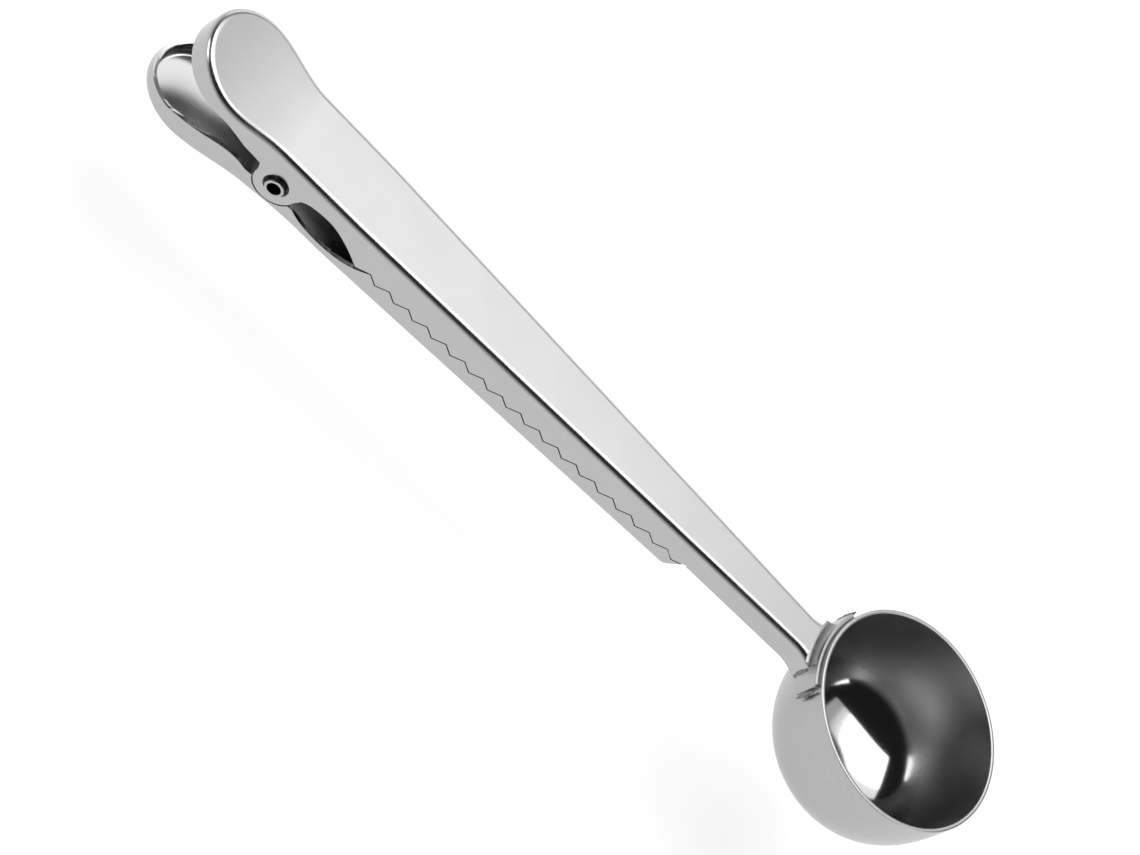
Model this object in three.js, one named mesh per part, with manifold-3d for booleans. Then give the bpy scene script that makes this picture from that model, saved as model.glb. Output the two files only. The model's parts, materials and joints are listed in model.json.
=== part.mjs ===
// Stainless steel coffee scoop whose channel-shaped handle is also a toothed bag clip.
//
// Millimetres, +Z up. The origin is the centre of the bowl's flat base. The handle runs along -X
// from the bowl to the thumb end, with its flat top face level. Stations "s" are measured along
// the handle from its thumb tip towards the bowl, so x = s - handleReach.

import * as THREE from 'three';
import { mergeVertices } from 'three/addons/utils/BufferGeometryUtils.js';
import Module from 'manifold-3d';

const wasm = await Module();
wasm.setup();

// ---- Driving dimensions ------------------------------------------------------------------

// Bowl: a drawn tablespoon cup.
const bowlRadius = 19;
const bowlDepth = 22;
const bowlWall = 0.7;
const bowlStraight = 3;
const bowlBaseRadius = 6;

// Handle: an inverted channel of folded sheet with an upturned, rounded thumb end.
const handleReach = 163.7;
const handleDrop = 2.4;
const sheet = 0.8;
const bendRadius = 1.5;
const thumbHalf = 10.1;
const thumbLength = 10.1;
const thumbLift = 2.3;
const waistHalf = 7.95;
const waistStation = 22.7;
const jawRootHalf = 7.75;
const jawRootStation = 38.7;
const neckHalf = 3.65;
const neckSkirt = 4.75;

// Saddle: the curved foot that the handle is welded to the bowl by.
const flareLength = 4;
const flareWidth = 1.3;
const saddleAngle = THREE.MathUtils.degToRad(26);
const saddleRise = 2;
const saddleHeight = 5.6;
const saddleSheet = 0.5;
const beadRadius = 0.4;

// Jaws: meshing zigzag edges on both flanges of the handle and of the lever.
const jawStart = 46.5;
const toothPitch = 4.22;
const toothCount = 17;
const toothHeight = 1.25;
const toothLean = 0.47;
const jawRootDrop = 6.5;
const jawTipDrop = 5.25;

// Lower edge of the handle's flanges, as points of [share of the way, drop below the top face]:
// from the thumb tip to the ear, arched up over the thumb gap, and from the ear to the first
// tooth, over the window.
const handleThumbEdge = [[-0.05, 2.6], [0.22, 2.3], [0.5, 1.75], [0.66, 2.7], [0.79, 4], [0.97, 5.1]];
const handleWindowEdge = [[0.03, 4.9], [0.13, 4], [0.38, 3.65], [0.62, 4.9], [0.85, 7]];

// Clip lever: a channel the other way up, hung on the pivot under the handle.
const leverLead = 0.7;
const leverThumbHalf = 9.2;
const leverThumbLength = 10.3;
const leverBellyDrop = 11.6;
const leverTipDrop = 15.9;
const leverKneeStation = 30.3;
const leverEndDrop = 9.3;
const leverTipRim = 3.3;
const leverOverrun = 1.6;
const leverEndSlant = 2;

// Upper edge of the lever's flanges, in the same terms.
const leverThumbEdge = [[0.22, 11.2], [0.34, 9.9], [0.51, 8.8], [0.68, 8], [0.83, 8], [0.95, 8.7]];
const leverWindowEdge = [[0.05, 7.9], [0.21, 8.8], [0.45, 9.1], [0.72, 8.6], [0.88, 7.5]];

// Pivot: a hollow pin pressed through both pairs of ears.
const pivotStation = 25.5;
const pivotDrop = 6.4;
const pivotRadius = 1.95;
const pivotWall = 0.5;
const pivotProud = 1.2;
const earRadius = 4;
const lugRadius = 3.6;

// Torsion spring round the pin, with a leg on each thumb pad.
const wireRadius = 0.4;
const springTurns = 6;
const coilPitch = 1.15;
const legReach = 11.5;

// Clearances.
const fitGap = 0.3;
const toothGap = 0.3;

// ---- Places worked out from them ---------------------------------------------------------

const topZ = bowlDepth - handleDrop;
const tipX = -handleReach;
const pivotX = tipX + pivotStation;
const pivotZ = topZ - pivotDrop;
const saddleInner = bowlRadius + fitGap;
const saddleOuter = saddleInner + saddleSheet;
const neckEnd = handleReach - saddleInner;
const jawEnd = jawStart + toothCount * toothPitch;
const leverEnd = jawEnd - toothPitch * (1 - toothLean) + leverOverrun;
const earBack = pivotStation - earRadius;
const earFront = pivotStation + earRadius;
const pastEnd = 40;

// ---- Materials ---------------------------------------------------------------------------

function steel(color, roughness) {
  return new THREE.MeshStandardMaterial({ color, roughness, metalness: 1 });
}

const satinSteel = steel(0xd8d8d6, 0.32);
const brushedSteel = steel(0xc4c4c2, 0.38);
const springSteel = steel(0x9a9a98, 0.3);
const weldSteel = steel(0x8f8d8a, 0.6);

// ---- Solids ------------------------------------------------------------------------------

// Turns a closed geometry into a solid that can be joined and cut.
function solid(geometry) {
  const bare = geometry.clone();
  bare.deleteAttribute('normal');
  bare.deleteAttribute('uv');
  const merged = mergeVertices(bare, 1e-4);
  const mesh = new wasm.Mesh({
    numProp: 3,
    vertProperties: new Float32Array(merged.attributes.position.array),
    triVerts: new Uint32Array(merged.index.array),
  });
  return new wasm.Manifold(mesh);
}

// Turns a solid back into a geometry with flat-shaded faces.
function geometryOf(body) {
  const mesh = body.getMesh();
  const geometry = new THREE.BufferGeometry();
  geometry.setAttribute('position', new THREE.BufferAttribute(mesh.vertProperties, 3));
  geometry.setIndex(new THREE.BufferAttribute(mesh.triVerts, 1));
  geometry.computeVertexNormals();
  return geometry;
}

// A closed skin through rings of equally many points, capped at both ends by strips that join
// the point i of the left half of the ring to its mirror point on the right half.
function skin(rings) {
  const count = rings[0].length;
  const positions = rings.flat().flatMap((point) => [point.x, point.y, point.z]);
  const index = [];
  for (let ring = 0; ring + 1 < rings.length; ring += 1) {
    for (let i = 0; i < count; i += 1) {
      const a = ring * count + i;
      const b = ring * count + ((i + 1) % count);
      index.push(a, a + count, b, b, a + count, b + count);
    }
  }
  const last = (rings.length - 1) * count;
  for (let i = 0; i < count / 2 - 1; i += 1) {
    const mirror = count - 1 - i;
    index.push(i, i + 1, mirror, i + 1, mirror - 1, mirror);
    index.push(last + i, last + mirror, last + i + 1, last + i + 1, last + mirror, last + mirror - 1);
  }
  const geometry = new THREE.BufferGeometry();
  geometry.setAttribute('position', new THREE.Float32BufferAttribute(positions, 3));
  geometry.setIndex(index);
  return geometry;
}

// The plan outline of a channel: one flank from the thumb tip to the far end, mirrored.
// Each point carries the outward direction that the sheet thickness is measured along.
function planOutline(stations, halfWidthAt) {
  const flank = stations.map((s) => new THREE.Vector2(tipX + s, -halfWidthAt(s)));
  const ring = [...flank, ...flank.map((p) => new THREE.Vector2(p.x, -p.y)).reverse()];
  return ring.map((point, i) => {
    const before = ring[(i + ring.length - 1) % ring.length];
    const after = ring[(i + 1) % ring.length];
    const along = after.clone().sub(before).normalize();
    return { point, outward: new THREE.Vector2(along.y, -along.x) };
  });
}

// A shallow tray of folded sheet, closed all round: a floor at z = 0 with its rounded bend,
// and walls standing "depth" away from it. "up" is 1 when the floor is on top.
function tray(outline, depth, up) {
  const innerBend = bendRadius - sheet;
  const half = 1 - Math.SQRT1_2;
  const section = [
    [bendRadius, 0],
    [bendRadius * half, bendRadius * half],
    [0, bendRadius],
    [0, depth],
    [sheet, depth],
    [sheet, bendRadius],
    [sheet + innerBend * half, sheet + innerBend * half],
    [bendRadius, sheet],
  ];
  const rings = section.map(([inset, drop]) => outline.map(({ point, outward }) => (
    new THREE.Vector3(point.x - outward.x * inset, point.y - outward.y * inset, -drop * up)
  )));
  return skin(up > 0 ? rings : rings.reverse());
}

// Moves every vertex up by a height that depends on its x.
function shearUp(geometry, heightAt) {
  const position = geometry.attributes.position;
  for (let i = 0; i < position.count; i += 1) {
    position.setZ(i, position.getZ(i) + heightAt(position.getX(i)));
  }
  return geometry;
}

// A prism across the whole width, from a side profile of [x, z] points.
function sideCutter(points, halfWidth = 2 * thumbHalf) {
  const shape = new THREE.Shape(points.map(([x, z]) => new THREE.Vector2(x, z)));
  const geometry = new THREE.ExtrudeGeometry(shape, { depth: 2 * halfWidth, bevelEnabled: false });
  geometry.rotateX(Math.PI / 2);
  geometry.translate(0, halfWidth, 0);
  return solid(geometry);
}

// A round bar across the handle, centred on the pivot.
function pivotBar(radius, halfWidth, segments = 24) {
  const geometry = new THREE.CylinderGeometry(radius, radius, 2 * halfWidth, segments);
  geometry.translate(pivotX, 0, pivotZ);
  return solid(geometry);
}

// ---- Plan and side profiles --------------------------------------------------------------

const lerp = THREE.MathUtils.lerp;

// Evenly spaced values from one number to another, both included.
function steps(from, to, count) {
  return Array.from({ length: count + 1 }, (_, i) => lerp(from, to, i / count));
}

// Half-width of a rounded thumb end, blending into the waist.
function thumbHalfWidth(fromTip, widest, length, waist) {
  if (fromTip < length) {
    const away = (length - fromTip) / length;
    return widest * Math.sqrt(1 - away ** 2);
  }
  const along = Math.min((fromTip - length) / (waist - length), 1);
  return waistHalf + (widest - waistHalf) * (1 + Math.cos(Math.PI * along)) / 2;
}

// Half-width of the tapering part, from the waist to the bowl.
function taperHalfWidth(s) {
  if (s < jawRootStation) {
    return lerp(waistHalf, jawRootHalf, (s - waistStation) / (jawRootStation - waistStation));
  }
  return lerp(jawRootHalf, neckHalf, (s - jawRootStation) / (neckEnd - jawRootStation));
}

function handleHalfWidth(s) {
  const flare = Math.max(0, (s - (neckEnd - flareLength)) / flareLength);
  return s < waistStation
    ? thumbHalfWidth(s, thumbHalf, thumbLength, waistStation)
    : taperHalfWidth(s) + flareWidth * Math.min(flare, 1) ** 2;
}

// The lever's flanges stand flush under the handle's, tooth to tooth.
function leverHalfWidth(s) {
  return s < waistStation
    ? thumbHalfWidth(s + leverLead, leverThumbHalf, leverThumbLength, waistStation + leverLead)
    : taperHalfWidth(s);
}

// How far the thumb end's top rises above the level top face.
function thumbRise(x) {
  return thumbLift * (Math.max(0, waistStation - (x - tipX)) / waistStation) ** 1.5;
}

// Height of the lever's underside: a thumb pad bent down from the knee, and a gentle rise
// along the jaw.
function leverFloorZ(x) {
  const s = x - tipX;
  const fall = (leverTipDrop - leverBellyDrop) / (leverKneeStation + leverLead);
  const rise = (leverBellyDrop - leverEndDrop) / (leverEnd - jawRootStation);
  return topZ - leverBellyDrop
    - fall * Math.max(0, leverKneeStation - s)
    + rise * Math.max(0, s - jawRootStation);
}

// The zigzag that both jaws share, as [x, z] points from the pivot side to the bowl side.
function toothLine(offset) {
  const points = [];
  for (let i = 0; i <= toothCount; i += 1) {
    const s = jawStart + i * toothPitch;
    const middle = topZ - lerp(jawRootDrop, jawTipDrop, i / toothCount) + offset;
    points.push([tipX + s, middle + toothHeight / 2]);
    if (i < toothCount) {
      points.push([tipX + s + toothPitch * toothLean, middle - toothHeight / 2]);
    }
  }
  return points;
}

// Points of an arc about the pivot, from one angle to another, in degrees from +X towards +Z.
function pivotArc(radius, from, to) {
  return steps(from, to, 8).map((degrees) => {
    const angle = THREE.MathUtils.degToRad(degrees);
    return [pivotX + radius * Math.cos(angle), pivotZ + radius * Math.sin(angle)];
  });
}

// A smooth run through a few [share, drop] points between two stations.
function smoothEdge(points, from, to, divisions) {
  const curve = new THREE.SplineCurve(points.map(([share, drop]) => (
    new THREE.Vector2(tipX + lerp(from, to, share), topZ - drop)
  )));
  return curve.getPoints(divisions).map((point) => [point.x, point.y]);
}

// Lower edge of the handle's flanges, from thumb tip to bowl: over the thumb gap, down round the
// ear, up over the window, along the teeth and on as the neck's skirt.
function handleEdge() {
  return [
    ...smoothEdge(handleThumbEdge, 0, earBack, 14),
    ...pivotArc(earRadius, 180, 360),
    ...smoothEdge(handleWindowEdge, earFront, jawStart, 12),
    ...toothLine(toothGap / 2),
    [tipX + jawEnd + toothGap, topZ - neckSkirt],
    [tipX + neckEnd + pastEnd, topZ - neckSkirt],
  ];
}

// Upper edge of the lever's flanges, from thumb tip to the jaw's end.
function leverEdge() {
  const tipRim = leverTipDrop - leverTipRim;
  return [
    ...smoothEdge([[-0.1, tipRim + sheet / 2], [0, tipRim], ...leverThumbEdge], 0, earBack, 16),
    ...smoothEdge(leverWindowEdge, earFront, jawStart, 12),
    ...toothLine(-toothGap / 2),
    [tipX + leverEnd + pastEnd, topZ - jawTipDrop],
  ];
}

// ---- Pieces ------------------------------------------------------------------------------

// Stations round a thumb end, then along the blend to the waist.
function thumbStations(length, lead) {
  const round = steps(0.14, Math.PI / 2, 9).map((angle) => length * (1 - Math.cos(angle)));
  const blend = steps(length, waistStation + lead, 7).slice(1);
  return [...round, ...blend].map((s) => s - lead);
}

// Stations in order, without near repeats.
function inOrder(stations) {
  return stations
    .sort((a, b) => a - b)
    .filter((s, i, all) => i === 0 || s - all[i - 1] > 0.2);
}

function handleGeometry() {
  const flare = steps(neckEnd - flareLength, neckEnd + flareLength, 8);
  const stations = inOrder([...thumbStations(thumbLength, 0), jawRootStation, ...flare]);
  const depth = pivotDrop + earRadius + 1;
  const sheetMetal = shearUp(tray(planOutline(stations, handleHalfWidth), depth, 1), thumbRise);
  const channel = solid(sheetMetal.translate(0, 0, topZ));

  const edge = handleEdge();
  const below = topZ - 2 * depth;
  const skirtCut = sideCutter([...edge, [edge.at(-1)[0], below], [edge[0][0], below]]);
  const bowlCut = new THREE.CylinderGeometry(saddleInner, saddleInner, 4 * bowlDepth, 64);
  bowlCut.rotateX(Math.PI / 2);

  return geometryOf(channel
    .subtract(skirtCut)
    .add(saddle())
    .subtract(solid(bowlCut))
    .subtract(pivotBar(pivotRadius + fitGap, 2 * thumbHalf)));
}

// The curved foot: a strip of a cylinder that sits on the bowl's wall.
function saddle() {
  const shape = new THREE.Shape();
  shape.absarc(0, 0, saddleOuter, Math.PI - saddleAngle, Math.PI + saddleAngle, false);
  shape.absarc(0, 0, saddleInner - saddleSheet, Math.PI + saddleAngle, Math.PI - saddleAngle, true);
  const strip = new THREE.ExtrudeGeometry(shape, {
    depth: saddleHeight, bevelEnabled: false, curveSegments: 8,
  });
  strip.translate(0, 0, topZ + saddleRise - saddleHeight);
  return solid(strip);
}

function leverGeometry() {
  const stations = inOrder([
    ...thumbStations(leverThumbLength, leverLead),
    leverKneeStation, jawRootStation, leverEnd + pastEnd,
  ]);
  const depth = leverBellyDrop + 2;
  const channel = solid(shearUp(tray(planOutline(stations, leverHalfWidth), depth, -1), leverFloorZ));

  const edge = leverEdge();
  const above = topZ + 2 * depth;
  const below = topZ - 2 * depth;
  const rimCut = sideCutter([...edge, [edge.at(-1)[0], above], [edge[0][0], above]].reverse());
  const end = tipX + leverEnd;
  const past = end + 3 * pastEnd;
  const endCut = sideCutter([
    [end - leverEndSlant, below], [past, below], [past, above], [end, above],
    [end, topZ - jawTipDrop], [end - leverEndSlant, topZ - leverEndDrop + sheet],
  ]);

  return geometryOf(channel
    .subtract(rimCut)
    .subtract(endCut)
    .subtract(pivotBar(earRadius + fitGap, 2 * thumbHalf, 36))
    .add(lug(1))
    .add(lug(-1))
    .subtract(pivotBar(pivotRadius + fitGap, 2 * thumbHalf)));
}

// A lug standing up from the lever's floor, inside the handle's ear, for the pin to pass through.
function lug(side) {
  const foot = (x) => [x, leverFloorZ(x) + sheet / 2];
  const profile = [
    ...pivotArc(lugRadius, 0, 180), foot(pivotX - lugRadius), foot(pivotX + lugRadius),
  ];
  const outer = handleHalfWidth(pivotStation + lugRadius) - sheet - fitGap;
  const shape = new THREE.Shape(profile.map(([x, z]) => new THREE.Vector2(x, z)));
  const plate = new THREE.ExtrudeGeometry(shape, { depth: sheet, bevelEnabled: false });
  plate.rotateX(Math.PI / 2);
  plate.translate(0, side * (outer - sheet / 2) + sheet / 2, 0);
  return solid(plate);
}

// One quarter ellipse of the bowl's wall, from the base edge up to the straight wall.
function bowlCurve(inset) {
  const straightEnd = bowlDepth - bowlStraight;
  const across = bowlRadius - bowlBaseRadius - inset;
  return steps(-Math.PI / 2, 0, 11).map((angle) => new THREE.Vector2(
    bowlBaseRadius + across * Math.cos(angle), straightEnd + (straightEnd - inset) * Math.sin(angle),
  ));
}

function bowlGeometry() {
  const profile = [
    new THREE.Vector2(0, 0),
    ...bowlCurve(0),
    new THREE.Vector2(bowlRadius, bowlDepth),
    new THREE.Vector2(bowlRadius - bowlWall, bowlDepth),
    ...bowlCurve(bowlWall).reverse(),
    new THREE.Vector2(0, bowlWall),
  ];
  return new THREE.LatheGeometry(profile, 56).rotateX(Math.PI / 2);
}

function pivotGeometry() {
  const halfLength = handleHalfWidth(pivotStation) + pivotProud;
  const inner = pivotRadius - pivotWall;
  const profile = [
    [inner, -halfLength], [pivotRadius, -halfLength], [pivotRadius, halfLength],
    [inner, halfLength], [inner, -halfLength],
  ].map(([radius, height]) => new THREE.Vector2(radius, height));
  return new THREE.LatheGeometry(profile, 24).translate(pivotX, 0, pivotZ);
}

// Centre line of the spring: in along the upper leg, round the coil, out along the lower leg.
function springPath() {
  const radius = pivotRadius + fitGap + wireRadius;
  const turns = springTurns + 0.5;
  const halfCoil = turns * coilPitch / 2;
  const clear = sheet + fitGap + wireRadius;
  const legX = pivotX - legReach;
  const coil = steps(0, turns, turns * 12).map((turn) => {
    const angle = Math.PI / 2 - 2 * Math.PI * turn;
    return new THREE.Vector3(
      pivotX + radius * Math.cos(angle), coilPitch * turn - halfCoil, pivotZ + radius * Math.sin(angle),
    );
  });
  return new THREE.CatmullRomCurve3([
    new THREE.Vector3(legX, -halfCoil, topZ + thumbRise(legX) - clear),
    ...coil,
    new THREE.Vector3(legX, halfCoil, leverFloorZ(legX) + clear),
  ], false, 'centripetal');
}

function springGeometry() {
  const wire = new THREE.Shape().absarc(0, 0, wireRadius, 0, 2 * Math.PI, false);
  return new THREE.ExtrudeGeometry(wire, { steps: 96, extrudePath: springPath(), curveSegments: 3 });
}

// A fillet of weld metal down one side end of the saddle.
function beadGeometry(side) {
  const angle = saddleAngle + (fitGap + beadRadius) / bowlRadius;
  const radius = bowlRadius + fitGap + beadRadius;
  const length = saddleHeight - 4 * beadRadius;
  return new THREE.CapsuleGeometry(beadRadius, length, 3, 8)
    .rotateX(Math.PI / 2)
    .translate(
      -radius * Math.cos(angle),
      side * radius * Math.sin(angle),
      topZ + saddleRise - saddleHeight / 2,
    );
}

// ---- Assembly ----------------------------------------------------------------------------

function piece(name, geometry, material) {
  const mesh = new THREE.Mesh(geometry, material);
  mesh.name = name;
  return mesh;
}

const group = new THREE.Group();
group.add(
  piece('handle', handleGeometry(), satinSteel),
  piece('bowl', bowlGeometry(), brushedSteel),
  piece('weld_bead_left', beadGeometry(1), weldSteel),
  piece('weld_bead_right', beadGeometry(-1), weldSteel),
  piece('clip_lever', leverGeometry(), satinSteel),
  piece('pivot_pin', pivotGeometry(), springSteel),
  piece('torsion_spring', springGeometry(), springSteel),
);

export default group;
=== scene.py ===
"""Stainless steel coffee scoop whose long handle is a toothed, sprung bag clip.

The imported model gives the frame: metres, +Z up, the origin at the centre of the bowl's base,
the handle along -X. Sizes in the classes below are in millimetres. A station is a distance
along the handle from its thumb tip, and a drop is a depth below the handle's level top face.
"""

import json
import logging
import math
from contextlib import contextmanager
from dataclasses import dataclass
from enum import Enum
from typing import Callable, Iterator

import bmesh
import bpy
from mathutils import Matrix, Vector, noise

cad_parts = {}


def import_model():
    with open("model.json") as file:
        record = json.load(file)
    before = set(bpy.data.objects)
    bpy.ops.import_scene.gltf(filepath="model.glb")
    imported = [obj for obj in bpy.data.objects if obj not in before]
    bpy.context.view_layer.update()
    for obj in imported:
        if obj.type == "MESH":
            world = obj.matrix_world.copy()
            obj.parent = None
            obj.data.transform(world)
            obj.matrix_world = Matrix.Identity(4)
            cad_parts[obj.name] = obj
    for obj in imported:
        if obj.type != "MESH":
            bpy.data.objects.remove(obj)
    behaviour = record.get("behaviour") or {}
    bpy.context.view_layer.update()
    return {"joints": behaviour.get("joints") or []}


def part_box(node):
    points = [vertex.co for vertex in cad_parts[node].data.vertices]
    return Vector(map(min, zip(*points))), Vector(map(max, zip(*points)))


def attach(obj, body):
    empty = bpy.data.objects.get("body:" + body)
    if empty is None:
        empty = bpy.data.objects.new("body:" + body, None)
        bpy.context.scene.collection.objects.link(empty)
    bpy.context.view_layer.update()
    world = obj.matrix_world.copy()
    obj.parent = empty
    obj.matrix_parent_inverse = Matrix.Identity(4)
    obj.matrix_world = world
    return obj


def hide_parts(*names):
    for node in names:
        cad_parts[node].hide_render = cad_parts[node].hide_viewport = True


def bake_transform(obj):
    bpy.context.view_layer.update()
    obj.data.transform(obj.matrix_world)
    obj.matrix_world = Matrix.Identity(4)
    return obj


LOG = logging.getLogger("scoop_clip")
MM = 0.001
TINY = 1e-6

# How far cutters and guide lines reach past what they cut, in millimetres.
ACROSS, BEYOND, PAST_END = 20.0, 60.0, 40.0

# Station of the pin, and the distance within which vertices are merged, in millimetres.
PIVOT_STATION = 25.5
MERGE = 0.002

# Sides of the round cutters, and the least part of a normal that counts as facing an axis.
HOLE_SIDES, NOTCH_SIDES, BOWL_SIDES = 64, 96, 256
FACING = 0.9

Profile = list[tuple[float, float]]


class Body(Enum):
    """The two bodies that the hinge joins."""

    SCOOP = "scoop"
    LEVER = "lever"


class Pick(Enum):
    """What a selection in edit mode is made of."""

    VERTS = "VERT"
    EDGES = "EDGE"
    FACES = "FACE"


# ---- Hand work --------------------------------------------------------------


def only(obj: bpy.types.Object) -> None:
    """Selects one object alone and makes it active."""
    bpy.ops.object.select_all(action="DESELECT")
    obj.select_set(True)
    bpy.context.view_layer.objects.active = obj


@contextmanager
def editing(obj: bpy.types.Object, kind: Pick = Pick.VERTS) -> Iterator[None]:
    """Holds an object in edit mode, with one kind of selection."""
    only(obj)
    bpy.ops.object.mode_set(mode="EDIT")
    bpy.ops.mesh.select_mode(type=kind.value)
    yield
    bpy.ops.object.mode_set(mode="OBJECT")


def pick(obj: bpy.types.Object, kind: Pick, test: Callable[..., bool]) -> int:
    """Selects the vertices, edges or faces of the object in edit mode that pass a test.

    Args:
        obj: The object in edit mode.
        kind: What is tested and selected.
        test: Takes one bmesh element and says whether it is selected.

    Returns:
        How many passed.
    """
    bpy.ops.mesh.select_mode(type=kind.value)
    bpy.ops.mesh.select_all(action="DESELECT")
    shape = bmesh.from_edit_mesh(obj.data)
    groups = {Pick.VERTS: shape.verts, Pick.EDGES: shape.edges, Pick.FACES: shape.faces}
    found = [element for element in groups[kind] if test(element)]
    for element in found:
        element.select = True
    shape.select_flush_mode()
    bmesh.update_edit_mesh(obj.data)
    return len(found)


def primitive(
    name: str, adder: Callable[..., object], stretch: tuple | Vector = (1, 1, 1),
    **settings: object,
) -> bpy.types.Object:
    """Adds a primitive, stretches and names it, and moves its place into its mesh."""
    bpy.ops.object.select_all(action="DESELECT")
    adder(**settings)
    obj = bpy.context.active_object
    obj.name = name
    obj.data.name = name
    obj.scale = stretch
    bpy.ops.object.transform_apply(location=True, rotation=True, scale=True)
    return obj


def finish_with(obj: bpy.types.Object, kind: str, **settings: object) -> None:
    """Adds a modifier with its settings and applies it."""
    only(obj)
    modifier = obj.modifiers.new(kind.lower(), kind)
    for key, value in settings.items():
        setattr(modifier, key, value)
    bpy.ops.object.modifier_apply(modifier=modifier.name)


def carve(obj: bpy.types.Object, cutter: bpy.types.Object, operation: str = "DIFFERENCE") -> None:
    """Cuts or joins one object with another, which is then removed."""
    finish_with(obj, "BOOLEAN", operation=operation, solver="EXACT", object=cutter)
    bpy.data.objects.remove(cutter)


def outward(obj: bpy.types.Object) -> None:
    """Merges doubled vertices and turns every face outwards."""
    with editing(obj):
        bpy.ops.mesh.select_all(action="SELECT")
        bpy.ops.mesh.remove_doubles(threshold=MERGE * MM)
        bpy.ops.mesh.normals_make_consistent(inside=False)


def polish_shape(obj: bpy.types.Object, edge: float, angle: float = 38.0) -> None:
    """Rounds sharp edges a little and shades the rest smooth, with flats kept flat.

    Args:
        obj: The finished shape.
        edge: Width of the rounding in millimetres, or 0 for none.
        angle: Edges sharper than this, in degrees, count as sharp.
    """
    if edge > 0:
        finish_with(
            obj, "BEVEL", width=edge * MM, segments=2, limit_method="ANGLE",
            angle_limit=math.radians(angle), miter_outer="MITER_ARC", use_clamp_overlap=True,
        )
    only(obj)
    bpy.ops.object.shade_smooth_by_angle(angle=math.radians(angle))
    finish_with(obj, "WEIGHTED_NORMAL", weight=60, keep_sharp=True)


def block(name: str, low: Vector, high: Vector) -> bpy.types.Object:
    """A cube primitive stretched between two corners, in metres."""
    return primitive(
        name, bpy.ops.mesh.primitive_cube_add, size=1,
        location=(low + high) / 2, stretch=high - low,
    )


def cross_bar(
    name: str, centre: Vector, radius: float, half: float, sides: int,
) -> bpy.types.Object:
    """A round bar across the handle, in metres."""
    return primitive(
        name, bpy.ops.mesh.primitive_cylinder_add, vertices=sides, radius=radius,
        depth=2 * half, location=centre, rotation=(math.pi / 2, 0, 0),
    )


def spun(obj: bpy.types.Object, angle: float, count: int) -> None:
    """Spins an upright section round the bowl's axis, as far on one side as on the other.

    Args:
        obj: The flat section, drawn at the middle of its way.
        angle: Half of the turn, in radians.
        count: How many steps the whole turn is cut into.
    """
    about = {"center": (0, 0, 0), "axis": (0, 0, 1)}
    with editing(obj):
        bpy.ops.mesh.select_all(action="SELECT")
        bpy.ops.mesh.spin(steps=1, angle=-angle, dupli=True, **about)
        bpy.ops.mesh.select_all(action="INVERT")
        bpy.ops.mesh.delete(type="VERT")
        bpy.ops.mesh.select_all(action="SELECT")
        bpy.ops.mesh.spin(steps=count, angle=2 * angle, **about)
    outward(obj)


# ---- Profiles ---------------------------------------------------------------


def lerp(a: float, b: float, share: float) -> float:
    """The number a share of the way from a to b."""
    return a + (b - a) * share


def steps(a: float, b: float, count: int) -> list[float]:
    """Evenly spaced numbers from a to b, both included."""
    return [lerp(a, b, i / count) for i in range(count + 1)]


def level_at(points: Profile, s: float) -> float:
    """Height of a profile at a station, straight between its points."""
    if s <= points[0][0]:
        return points[0][1]
    for (s0, z0), (s1, z1) in zip(points, points[1:]):
        if s <= s1:
            return lerp(z0, z1, (s - s0) / (s1 - s0)) if s1 > s0 else z1
    return points[-1][1]


def smooth_run(points: Profile, count: int) -> Profile:
    """A smooth curve through a few points, as a longer list of points.

    Args:
        points: The points that the curve passes through.
        count: How many parts the whole curve is cut into.

    Returns:
        The points of the curve, from the first to the last.
    """
    run = []
    for i in range(count + 1):
        place = i / count * (len(points) - 1)
        k = min(int(place), len(points) - 2)
        t = place - k
        p0 = points[k - 1] if k > 0 else points[k]
        p1, p2 = points[k], points[k + 1]
        p3 = points[k + 2] if k + 2 < len(points) else points[k + 1]
        run.append(tuple(
            0.5 * (2 * b + (c - a) * t + (2 * a - 5 * b + 4 * c - d) * t * t
                   + (3 * b - a - 3 * c + d) * t ** 3)
            for a, b, c, d in zip(p0, p1, p2, p3)
        ))
    return run


# ---- Folded sheet -----------------------------------------------------------


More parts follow.
